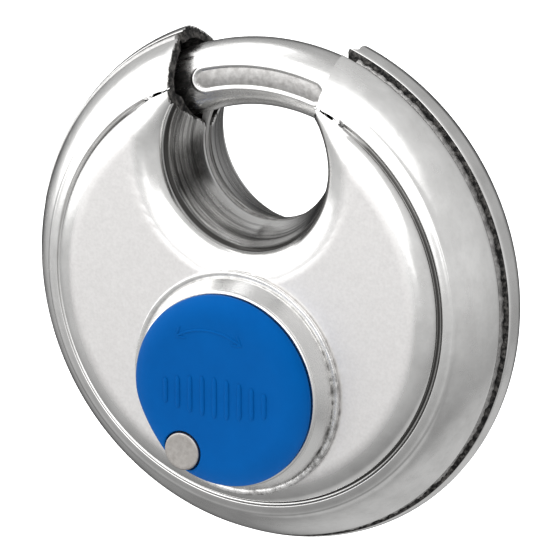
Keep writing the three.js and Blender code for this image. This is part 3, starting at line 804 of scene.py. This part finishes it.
class Surface:
    """A Principled material and short ways to add the procedural nodes that drive it."""

    def __init__(self, name, color, metallic, roughness, **constants):
        self.material = bpy.data.materials.new(name)
        self.material.use_nodes = True
        self.tree = self.material.node_tree
        self.shader = self.tree.nodes["Principled BSDF"]
        self.place = self.tree.nodes.new("ShaderNodeTexCoord").outputs["Object"]
        self.shader.inputs["Base Color"].default_value = (*color, 1)
        self.shader.inputs["Metallic"].default_value = metallic
        self.shader.inputs["Roughness"].default_value = roughness
        for key, value in constants.items():
            self.shader.inputs[key.replace("_", " ")].default_value = value

    def node(self, kind, inputs=None, **settings):
        made = self.tree.nodes.new(kind)
        for key, value in settings.items():
            setattr(made, key, value)
        for key, value in (inputs or {}).items():
            self.feed(made.inputs[key], value)
        return made

    def feed(self, socket, value):
        if isinstance(value, bpy.types.NodeSocket):
            self.tree.links.new(value, socket)
        else:
            socket.default_value = value

    def stretched(self, scale):
        return self.node("ShaderNodeMapping", {"Vector": self.place, "Scale": scale}).outputs["Vector"]

    def speckle(self, size, detail=4, roughness=0.55, stretch=(1, 1, 1)):
        """Noise whose spots are about this size in metres."""
        vector = self.stretched(stretch) if stretch != (1, 1, 1) else self.place
        inputs = {"Vector": vector, "Scale": 1 / size, "Detail": detail, "Roughness": roughness}
        return self.node("ShaderNodeTexNoise", inputs).outputs["Fac"]

    def ranged(self, value, from_low, from_high, to_low, to_high, smooth=False):
        node = self.node("ShaderNodeMapRange", {"Value": value})
        node.interpolation_type = "SMOOTHSTEP" if smooth else "LINEAR"
        limits = {"From Min": from_low, "From Max": from_high, "To Min": to_low, "To Max": to_high}
        for key, number in limits.items():
            self.feed(node.inputs[key], number)
        return node.outputs["Result"]

    def math(self, operation, a, b=None):
        node = self.node("ShaderNodeMath", operation=operation)
        self.feed(node.inputs[0], a)
        if b is not None:
            self.feed(node.inputs[1], b)
        return node.outputs["Value"]

    def blend(self, factor, first, second):
        node = self.node("ShaderNodeMix", data_type="RGBA")
        self.feed(node.inputs["Factor"], factor)
        self.feed(node.inputs["A"], (*first, 1) if isinstance(first, tuple) else first)
        self.feed(node.inputs["B"], (*second, 1) if isinstance(second, tuple) else second)
        return node.outputs["Result"]

    def color(self, value):
        self.feed(self.shader.inputs["Base Color"], value)

    def roughness(self, value):
        self.feed(self.shader.inputs["Roughness"], value)

    def bump(self, height, distance, strength=1.0):
        inputs = {"Height": height, "Distance": distance, "Strength": strength}
        self.feed(self.shader.inputs["Normal"], self.node("ShaderNodeBump", inputs).outputs["Normal"])


def distance_round(s, centre_z):
    """Distance from a line parallel to Y at a height, for each point of a surface."""
    offset = s.node("ShaderNodeVectorMath", {0: s.place, 1: (0, 0, centre_z)}, operation="SUBTRACT")
    flat = s.node("ShaderNodeVectorMath", {0: offset.outputs["Vector"], 1: (1, 0, 1)}, operation="MULTIPLY")
    return s.node("ShaderNodeVectorMath", {0: flat.outputs["Vector"]}, operation="LENGTH").outputs["Value"]


def near(s, value, middle, inner, outer):
    """1 where a value is within the inner distance of the middle, fading to 0 at the outer distance."""
    away = s.math("ABSOLUTE", s.math("SUBTRACT", value, middle))
    return s.ranged(away, inner, outer, 1, 0, smooth=True)


def polished_casing_steel():
    """Polished stainless sheet: satin flats, drawing rings in the notch that are darker in random rings,
    and painted shade in the groove, at the ledge and along the right of the notch's lip.
    """
    s = Surface("polished_casing_steel", (0.83, 0.825, 0.815), 1.0, 0.16)
    split = s.node("ShaderNodeSeparateXYZ", {"Vector": s.place})
    depth = s.math("ABSOLUTE", split.outputs["Y"])
    from_disc = distance_round(s, DISC_Z)
    from_notch = distance_round(s, NOTCH_Z)

    flat = s.ranged(depth, FACE_DEPTH - 0.2 * MM, FACE_DEPTH - 0.01 * MM, 0, 1, smooth=True)
    clouds = s.speckle(9 * MM, 3)
    scuffs = s.speckle(1.2 * MM, 6, 0.7, (0.35, 1.0, 0.35))
    polished = s.math("ADD", s.ranged(clouds, 0.35, 0.7, 0.13, 0.26), s.ranged(scuffs, 0.52, 0.72, 0, 0.14))
    satin = s.ranged(s.speckle(0.5 * MM, 5), 0.3, 0.7, 0.36, 0.44)
    s.roughness(s.node("ShaderNodeMix", {"Factor": flat, "A": polished, "B": satin}).outputs["Result"])

    stain = s.math("ADD", s.speckle(5 * MM, 5, 0.6), s.ranged(scuffs, 0.35, 0.7, -0.12, 0.12))
    worn = s.blend(s.ranged(stain, 0.35, 0.7, 0, 1), (0.88, 0.875, 0.865), (0.74, 0.735, 0.725))
    grain = s.ranged(s.speckle(0.35 * MM, 5, 0.6), 0.35, 0.65, 0, 1)
    clean = s.blend(grain, (0.92, 0.905, 0.895), (0.85, 0.835, 0.825))
    steel = s.blend(flat, worn, clean)

    # Painted shade: a dark line in the groove at the raised face's foot, fading out below the horns.
    below_horns = s.ranged(split.outputs["Z"], DISC_Z + 18.5 * MM, DISC_Z + 21 * MM, 1, 0)
    groove = s.math("MULTIPLY", near(s, from_disc, GROOVE_RADIUS - 0.14 * MM, 0.06 * MM, 0.26 * MM),
                    s.math("MULTIPLY", below_horns, s.ranged(depth, RIM_DEPTH, RIM_DEPTH + 0.3 * MM, 1, 0)))
    # Painted shade: a dark line at the notch's ledge, where the step shades itself.
    ledge = s.math("MULTIPLY", near(s, from_notch, LEDGE_RADIUS - 0.1 * MM, 0.15 * MM, 0.45 * MM),
                   near(s, depth, LEDGE_DEPTH, 0.15 * MM, 0.5 * MM))
    in_notch = s.ranged(from_notch, LEDGE_RADIUS - 0.15 * MM, LEDGE_RADIUS - 0.35 * MM, 0, 1)
    rings = s.speckle(0.9 * MM, 4, 0.7, (0.03, 1, 0.03))
    # Darker in random rings round the notch's wall.
    ring_darkening = s.math("MULTIPLY", in_notch, s.ranged(rings, 0.47, 0.62, 0, 0.85))
    painted_shade_and_dark_rings = s.math("MAXIMUM", ring_darkening, s.math("MAXIMUM", groove, ledge))
    # Painted shade: a dark line along the notch's lip, on its right side only.
    right_lip_shade = s.math("MULTIPLY", s.ranged(from_notch, 11.15 * MM, 10.9 * MM, 0, 0.9),
                     s.ranged(split.outputs["X"], 6 * MM, 7.5 * MM, 0, 1))
    # The painted shade of the groove, ledge and lip, and the darker rings, are blended in as near-black.
    s.color(s.blend(s.math("MAXIMUM", painted_shade_and_dark_rings, right_lip_shade), steel, (0.07, 0.068, 0.065)))

    ripple = s.math("ADD", s.speckle(3 * MM, 2), s.ranged(s.speckle(0.5 * MM, 5, 0.65), 0, 1, 0, 0.14))
    drawn_rings = s.math("MULTIPLY", s.math("MULTIPLY", rings, in_notch), 0.6)
    s.bump(s.math("ADD", ripple, drawn_rings), 0.05 * MM, 0.45)
    return s.material


def bar_steel():
    """The drawn and polished bar, with faint marks along it."""
    s = Surface("bar_steel", (0.83, 0.825, 0.815), 1.0, 0.18)
    marks = s.speckle(1.0 * MM, 6, 0.7, (0.25, 1, 1))
    s.roughness(s.ranged(marks, 0.35, 0.72, 0.14, 0.36))
    s.color(s.blend(s.ranged(marks, 0.4, 0.68, 0, 1), (0.87, 0.865, 0.855), (0.68, 0.675, 0.665)))
    s.bump(s.speckle(0.4 * MM, 5, 0.65, (0.3, 1, 1)), 0.03 * MM, 0.5)
    return s.material


def panel_steel():
    """The panel's floor, pale and dull from the die."""
    s = Surface("panel_steel", (0.83, 0.82, 0.81), 1.0, 0.5)
    s.roughness(s.ranged(s.speckle(0.5 * MM, 5), 0.3, 0.7, 0.42, 0.6))
    grain = s.ranged(s.speckle(0.6 * MM, 5, 0.65), 0.35, 0.65, 0, 1)
    s.color(s.blend(grain, (0.62, 0.61, 0.6), (0.44, 0.43, 0.42)))
    s.bump(s.speckle(0.35 * MM, 5, 0.65), 0.04 * MM, 0.7)
    return s.material


def collar_steel():
    """Turned steel, scuffed where the foot meets the casing."""
    s = Surface("collar_steel", (0.83, 0.825, 0.815), 1.0, 0.16)
    y = s.node("ShaderNodeSeparateXYZ", {"Vector": s.place}).outputs["Y"]
    foot = s.ranged(y, COLLAR_FRONT + 1.5 * MM, -FACE_DEPTH - 0.5 * MM, 0, 1, smooth=True)
    scuffs = s.ranged(s.speckle(1.1 * MM, 7, 0.72, (1, 2.2, 1)), 0.45, 0.6, 0, 1)
    low_right = s.node("ShaderNodeVectorMath", {0: s.place, 1: (0.75, 0, -0.65)}, operation="DOT_PRODUCT")
    lock_centre = -LOCK_Z * 0.65
    rubbed = s.ranged(low_right.outputs["Value"], lock_centre + 2 * MM, lock_centre + 11 * MM, 0.25, 1)
    worn = s.math("MULTIPLY", s.math("MULTIPLY", scuffs, foot), rubbed)
    turned_finish = s.ranged(s.speckle(5 * MM, 3), 0.3, 0.7, 0.13, 0.22)
    s.roughness(s.math("ADD", turned_finish, s.math("MULTIPLY", worn, 0.25)))
    s.color(s.blend(s.math("MULTIPLY", worn, 0.8), (0.85, 0.845, 0.835), (0.16, 0.155, 0.15)))
    tool_marks = s.speckle(0.25 * MM, 4, 0.6, (1, 9, 1))
    s.bump(s.math("ADD", tool_marks, s.math("MULTIPLY", worn, -0.8)), 0.03 * MM, 0.35)
    return s.material


def torn_and_shaded_steel():
    """Unpolished steel, torn by shearing, on the edges of the mouth and inside the casing. Its near-black
    colour is partly the torn steel's own dark and partly painted shade for the casing's shaded inside.
    """
    s = Surface("torn_and_shaded_steel", (0.05, 0.05, 0.05), 0.8, 0.55)
    s.roughness(s.ranged(s.speckle(0.6 * MM, 6, 0.7), 0.3, 0.7, 0.45, 0.75))
    glints = s.ranged(s.speckle(0.7 * MM, 6, 0.75), 0.46, 0.68, 0, 1)
    # Near-black: partly the steel's own dark, partly painted shade standing in for the casing's shaded
    # inside.
    s.color(s.blend(glints, (0.015, 0.015, 0.015), (0.2, 0.19, 0.18)))
    s.bump(s.speckle(0.3 * MM, 6, 0.75), 0.12 * MM, 0.9)
    return s.material


def weld_steel():
    """Rough weld metal, paler on the left, where it is ground flush."""
    s = Surface("weld_steel", (0.3, 0.29, 0.28), 1.0, 0.5)
    pits = s.speckle(0.7 * MM, 7, 0.75)
    x = s.node("ShaderNodeSeparateXYZ", {"Vector": s.place}).outputs["X"]
    ground = s.ranged(x, -8 * MM, -2 * MM, 0.8, 0, smooth=True)
    s.roughness(s.ranged(s.speckle(0.4 * MM, 5), 0.3, 0.7, 0.35, 0.65))
    rough_color = s.blend(s.ranged(pits, 0.38, 0.6, 0, 1), (0.28, 0.275, 0.27), (0.56, 0.55, 0.54))
    s.color(s.blend(ground, rough_color, (0.74, 0.735, 0.725)))
    s.bump(pits, 0.1 * MM, 0.7)
    return s.material


def cover_plastic():
    """Satin moulded plastic with a fine grain and a slightly uneven tone."""
    s = Surface("cover_plastic", (0.0, 0.062, 0.24), 0.0, 0.5, IOR=1.46)
    s.shader.inputs["Specular IOR Level"].default_value = 0.03
    tone = s.ranged(s.speckle(6 * MM, 4, 0.6), 0.3, 0.7, 0, 1)
    s.color(s.blend(tone, (0.0, 0.056, 0.216), (0.0, 0.063, 0.238)))
    s.roughness(s.ranged(s.speckle(0.8 * MM, 6, 0.65), 0.3, 0.7, 0.42, 0.55))
    s.bump(s.speckle(0.16 * MM, 4, 0.6), 0.012 * MM, 0.5)
    return s.material


def rivet_steel():
    s = Surface("rivet_steel", (0.66, 0.63, 0.6), 1.0, 0.38)
    grain = s.ranged(s.speckle(0.5 * MM, 5, 0.65), 0.35, 0.65, 0, 1)
    s.color(s.blend(grain, (0.46, 0.435, 0.41), (0.57, 0.545, 0.52)))
    s.roughness(s.ranged(s.speckle(0.3 * MM, 5), 0.3, 0.7, 0.36, 0.5))
    s.bump(s.speckle(0.2 * MM, 6, 0.7, (1, 1, 0.3)), 0.02 * MM, 0.6)
    return s.material


def inner_metal(name, light, dark, low_roughness, high_roughness, grain):
    """Brass, hardened steel, spring wire and cast zinc: each has its own colour, gloss and grain."""
    s = Surface(name, light, 1.0, low_roughness)
    s.color(s.blend(s.ranged(s.speckle(grain * 2, 5, 0.6), 0.35, 0.7, 0, 1), light, dark))
    s.roughness(s.ranged(s.speckle(grain, 5), 0.3, 0.7, low_roughness, high_roughness))
    s.bump(s.speckle(grain / 2, 5, 0.6), grain / 20, 0.5)
    return s.material


def dress_inner_nodes():
    """Gives each CAD node that stays its slot's material."""
    finishes = {
        "brass": inner_metal(
            "turned_brass", (0.78, 0.58, 0.25), (0.6, 0.42, 0.17), 0.24, 0.4, 0.6 * MM),
        "hardened_steel": inner_metal(
            "ground_steel", (0.6, 0.6, 0.61), (0.42, 0.42, 0.43), 0.26, 0.44, 0.5 * MM),
        "spring_steel": inner_metal(
            "drawn_wire", (0.58, 0.58, 0.59), (0.4, 0.4, 0.41), 0.28, 0.42, 0.3 * MM),
        "cast_zinc": inner_metal(
            "cast_zinc", (0.46, 0.47, 0.48), (0.33, 0.34, 0.35), 0.5, 0.72, 0.9 * MM),
    }
    for part in frame["record"]["subparts"]:
        finish = finishes.get(part["material_slot"])
        if finish:
            node = frame["nodes"][part["node"]]
            node.data.materials.clear()
            node.data.materials.append(finish)


# ---------- floor, light and camera ----------

CAMERA_TURN = math.radians(28.7)
CAMERA_HEIGHT = math.radians(16.42)
CAMERA_DISTANCE = 0.4
CAMERA_ASIDE = 0.65 * MM
CAMERA_LENS = 230
FLOOR_DROP = 0.16


def camera_axes():
    back = Vector((
        math.sin(CAMERA_TURN) * math.cos(CAMERA_HEIGHT),
        -math.cos(CAMERA_TURN) * math.cos(CAMERA_HEIGHT),
        math.sin(CAMERA_HEIGHT),
    ))
    right = Vector((math.cos(CAMERA_TURN), math.sin(CAMERA_TURN), 0))
    return back, right


def camera():
    back, right = camera_axes()
    eye = bpy.data.objects.new("camera", bpy.data.cameras.new("camera"))
    bpy.context.scene.collection.objects.link(eye)
    eye.data.lens = CAMERA_LENS
    eye.data.clip_start = 0.01
    eye.location = Vector((0, 0, DISC_Z)) + back * CAMERA_DISTANCE + right * CAMERA_ASIDE
    eye.rotation_euler = back.to_track_quat("Z", "Y").to_euler()
    bpy.context.scene.camera = eye


def floor():
    half = 1.5
    z = DISC_Z - FLOOR_DROP
    corners = [(-half, -half, z), (half, -half, z), (half, half, z), (-half, half, z)]
    piece = new_object("floor", corners, [(0, 1, 2, 3)])
    s = Surface("floor", (0.93, 0.93, 0.93), 0.0, 0.9)
    s.roughness(s.ranged(s.speckle(0.05, 3), 0.3, 0.7, 0.85, 0.95))
    piece.data.materials.append(s.material)
    piece.visible_glossy = False


def softbox(name, location, target, size, power):
    lamp = bpy.data.lights.new(name, "AREA")
    lamp.shape = "RECTANGLE"
    lamp.size, lamp.size_y = size
    lamp.energy = power
    holder = bpy.data.objects.new(name, lamp)
    bpy.context.scene.collection.objects.link(holder)
    holder.location = location
    holder.rotation_euler = (Vector(location) - Vector(target)).to_track_quat("Z", "Y").to_euler()
    return holder


def lights():
    """One lamp for the floor and the cover. The studio room lights the metal."""
    lamp = softbox("ceiling_softbox", (0.1, 0.3, 0.9), (0.1, 0.5, DISC_Z - FLOOR_DROP), (1.6, 1.6), 26)
    lamp.visible_glossy = False


def room_direction(turn_degrees, height_degrees):
    """A direction in the room: turn 0 is straight in front of the lock, and positive is to its right."""
    turn = math.radians(turn_degrees)
    height = math.radians(height_degrees)
    return (math.sin(turn) * math.cos(height), -math.cos(turn) * math.cos(height), math.sin(height))


# Each softbox of the room: direction, angles where its edge starts and ends to fade, and brightness
ROOM_SOFTBOXES = (
    ((-45, 0), (58, 65), 1.8),
    ((2, 32), (28, 38), 1.8),
    ((-93, 54), (18, 27), 1.6),
    ((20, 78), (14, 34), 0.5),
)
DARK_CORNER = (-152, -8)  # behind the lock as the camera sees it


def studio_world():
    """A soft room: the softboxes above, grey walls, a darker floor and back, and a glow off the floor."""
    world = bpy.data.worlds.new("studio")
    bpy.context.scene.world = world
    world.use_nodes = True
    tree = world.node_tree
    direction = tree.nodes.new("ShaderNodeTexCoord").outputs["Generated"]

    def toward(vector):
        dot = tree.nodes.new("ShaderNodeVectorMath")
        dot.operation = "DOT_PRODUCT"
        tree.links.new(direction, dot.inputs[0])
        dot.inputs[1].default_value = vector
        return dot.outputs["Value"]

    def ranged(value, *numbers):
        node = tree.nodes.new("ShaderNodeMapRange")
        node.interpolation_type = "SMOOTHSTEP"
        tree.links.new(value, node.inputs["Value"])
        for key, number in zip(("From Min", "From Max", "To Min", "To Max"), numbers):
            node.inputs[key].default_value = number
        return node.outputs["Result"]

    def combined(operation, a, b):
        node = tree.nodes.new("ShaderNodeMath")
        node.operation = operation
        tree.links.new(a, node.inputs[0])
        tree.links.new(b, node.inputs[1])
        return node.outputs["Value"]

    height = toward((0, 0, 1))
    walls = ranged(height, -0.95, 0.1, 0.3, 0.75)
    back = ranged(toward(room_direction(-10, 0)), -0.75, 0.5, 0.6, 1.0)
    dark_corner = ranged(toward(room_direction(*DARK_CORNER)), math.cos(math.radians(42)), 0.985, 1, 0.1)
    light = combined("MULTIPLY", combined("MULTIPLY", walls, back), dark_corner)
    floor_glow = ranged(toward(room_direction(140, -62)), math.cos(math.radians(58)), 0.9, 0, 0.55)
    light = combined("MAXIMUM", light, floor_glow)
    above_floor = ranged(height, -0.26, -0.02, 0, 1)
    for (turn, rise), (inner, outer), brightness in ROOM_SOFTBOXES:
        edges = (math.cos(math.radians(outer)), math.cos(math.radians(inner)))
        glow = ranged(toward(room_direction(turn, rise)), *edges, 0, brightness)
        light = combined("MAXIMUM", light, combined("MULTIPLY", above_floor, glow))
    background = tree.nodes["Background"]
    background.inputs["Color"].default_value = (1, 1, 1, 1)
    tree.links.new(light, background.inputs["Strength"])


# ---------- build ----------

camera()
floor()
lights()
studio_world()
bpy.context.scene.view_settings.view_transform = "Standard"

casing_steel = polished_casing_steel()
torn = torn_and_shaded_steel()
weld = weld_steel()
plastic = cover_plastic()
front_shell(casing_steel, torn)
rear_shell(casing_steel, torn)
weld_bead(weld)
notch_seam_strip(weld)
shackle(bar_steel(), panel_steel())
cylinder_collar(collar_steel())
key_cover(plastic)
cover_marks(plastic)
cover_rivet(rivet_steel())
dress_inner_nodes()
